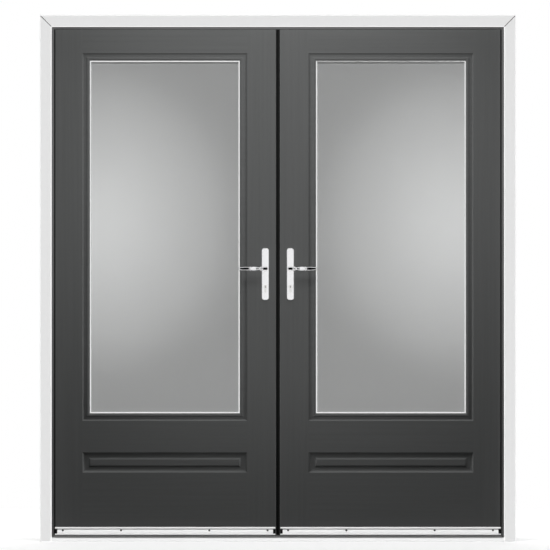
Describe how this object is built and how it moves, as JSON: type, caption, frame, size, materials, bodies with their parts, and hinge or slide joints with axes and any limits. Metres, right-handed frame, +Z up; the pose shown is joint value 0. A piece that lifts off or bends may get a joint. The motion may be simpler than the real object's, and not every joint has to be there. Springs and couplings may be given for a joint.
{
  "type": "composite double door with frame",
  "caption": "Glazed composite double door in a white frame: hinged moulded leaves, lever handles, lever-driven bolts and hooks, weather bars and a low threshold.",
  "frame": {"origin": "centre of the threshold's underside, half way through the frame's depth", "axes": "+X along the wall to the right seen from outside, +Y from outside to inside, +Z up"},
  "size_m": [1.9, 0.158, 2.1],
  "materials": {
    "white_frame": "satin white extruded plastic",
    "leaf_skin": "anthracite grey moulded skin with fine woodgrain",
    "foam_core": "rigid foam",
    "leaf_edge": "grey banded leaf edge",
    "glazing_frame": "anthracite grey moulded plastic",
    "clear_glass": "clear toughened glass",
    "satin_glass": "satin toughened glass",
    "spacer": "mill finish",
    "weather_bar_aluminium": "satin anodised",
    "threshold_aluminium": "satin anodised",
    "black_plastic": "black moulded plastic",
    "screw_steel": "stainless",
    "handle_chrome": "polished chrome",
    "cylinder_nickel": "satin nickel",
    "hinge_white": "white powder coat",
    "lock_steel": "zinc plated",
    "seal_rubber": "grey weatherseal",
    "black_rubber": "black weatherseal"
  },
  "bodies": {
    "frame": {"frame_head": "white_frame", "frame_jamb_left": "white_frame", "frame_jamb_right": "white_frame", "frame_weatherseal": "seal_rubber", "threshold": "threshold_aluminium", "threshold_seal": "seal_rubber", "head_bolt_keep": "lock_steel", "threshold_bolt_keep": "lock_steel", "hinge_frame_plates": "hinge_white", "hinge_pins": "lock_steel"},
    "active_leaf": {"active_outer_skin": "leaf_skin", "active_inner_skin": "leaf_skin", "active_core": "foam_core", "active_edge_frame": "leaf_edge", "active_glazing_frame_outer": "glazing_frame", "active_glazing_frame_inner": "glazing_frame", "active_outer_pane": "clear_glass", "active_inner_pane": "satin_glass", "active_spacer_bar": "spacer", "active_weather_bar": "weather_bar_aluminium", "active_weather_bar_plugs": "black_plastic", "active_screws": "screw_steel", "active_cylinder": "cylinder_nickel", "active_handle_plate_outer": "handle_chrome", "active_handle_plate_inner": "handle_chrome", "active_hinge_leaf_plates": "hinge_white", "active_lock_case": "lock_steel", "active_lock_faceplate": "lock_steel", "active_meeting_seals": "black_rubber"},
    "passive_leaf": {"passive_outer_skin": "leaf_skin", "passive_inner_skin": "leaf_skin", "passive_core": "foam_core", "passive_edge_frame": "leaf_edge", "passive_glazing_frame_outer": "glazing_frame", "passive_glazing_frame_inner": "glazing_frame", "passive_outer_pane": "clear_glass", "passive_inner_pane": "satin_glass", "passive_spacer_bar": "spacer", "passive_weather_bar": "weather_bar_aluminium", "passive_weather_bar_plugs": "black_plastic", "passive_screws": "screw_steel", "passive_cylinder": "cylinder_nickel", "passive_handle_plate_outer": "handle_chrome", "passive_handle_plate_inner": "handle_chrome", "passive_hinge_leaf_plates": "hinge_white", "passive_lock_case": "lock_steel", "passive_keeps": "lock_steel", "passive_astragal": "black_plastic"},
    "active_lever": {"active_lever_outer": "handle_chrome", "active_lever_inner": "handle_chrome"},
    "passive_lever": {"passive_lever_outer": "handle_chrome", "passive_lever_inner": "handle_chrome"},
    "active_deadbolt": {"active_deadbolt": "lock_steel"},
    "active_hook_upper": {"active_hook_upper": "lock_steel"},
    "active_hook_lower": {"active_hook_lower": "lock_steel"},
    "passive_shootbolt_upper": {"passive_shootbolt_upper": "lock_steel"},
    "passive_shootbolt_lower": {"passive_shootbolt_lower": "lock_steel"},
    "active_key_plug": {"active_cylinder_plug": "cylinder_nickel"},
    "passive_key_plug": {"passive_cylinder_plug": "cylinder_nickel"}
  },
  "joints": [
    {"name": "active_leaf_swing", "type": "hinge", "parent": "frame", "child": "active_leaf", "pos_m": [-0.912, 0.047, 1.042], "axis": [0, 0, 1], "range_deg": [0, 100]},
    {"name": "passive_leaf_swing", "type": "hinge", "parent": "frame", "child": "passive_leaf", "pos_m": [0.912, 0.047, 1.042], "axis": [0, 0, -1], "range_deg": [0, 100]},
    {"name": "active_lever_lift", "type": "hinge", "parent": "active_leaf", "child": "active_lever", "pos_m": [-0.05, 0.012, 1.088], "axis": [0, 1, 0], "range_deg": [0, 45], "stiffness_Nm_per_rad": 1.2},
    {"name": "passive_lever_lift", "type": "hinge", "parent": "passive_leaf", "child": "passive_lever", "pos_m": [0.05, 0.012, 1.088], "axis": [0, -1, 0], "range_deg": [0, 45], "stiffness_Nm_per_rad": 1.2},
    {"name": "active_deadbolt_throw", "type": "slide", "parent": "active_leaf", "child": "active_deadbolt", "axis": [1, 0, 0], "range_m": [0, 0.02]},
    {"name": "active_hook_upper_turn", "type": "hinge", "parent": "active_leaf", "child": "active_hook_upper", "pos_m": [-0.021, 0.012, 1.688], "axis": [0, 1, 0], "range_deg": [0, 90]},
    {"name": "active_hook_lower_turn", "type": "hinge", "parent": "active_leaf", "child": "active_hook_lower", "pos_m": [-0.021, 0.012, 0.488], "axis": [0, -1, 0], "range_deg": [0, 90]},
    {"name": "passive_shootbolt_upper_throw", "type": "slide", "parent": "passive_leaf", "child": "passive_shootbolt_upper", "axis": [0, 0, 1], "range_m": [0, 0.02]},
    {"name": "passive_shootbolt_lower_throw", "type": "slide", "parent": "passive_leaf", "child": "passive_shootbolt_lower", "axis": [0, 0, -1], "range_m": [0, 0.02]},
    {"name": "active_key_turn", "type": "hinge", "parent": "active_leaf", "child": "active_key_plug", "pos_m": [-0.05, 0.012, 1.016], "axis": [0, 1, 0], "range_deg": [0, 360]},
    {"name": "passive_key_turn", "type": "hinge", "parent": "passive_leaf", "child": "passive_key_plug", "pos_m": [0.05, 0.012, 1.016], "axis": [0, 1, 0], "range_deg": [0, 360]}
  ],
  "couplings": [
    {"joint": "active_deadbolt_throw", "follows": "active_lever_lift", "m_per_rad": 0.02545},
    {"joint": "active_hook_upper_turn", "follows": "active_lever_lift", "ratio": 1.999},
    {"joint": "active_hook_lower_turn", "follows": "active_lever_lift", "ratio": 1.999},
    {"joint": "passive_shootbolt_upper_throw", "follows": "passive_lever_lift", "m_per_rad": 0.02545},
    {"joint": "passive_shootbolt_lower_throw", "follows": "passive_lever_lift", "m_per_rad": 0.02545}
  ]
}
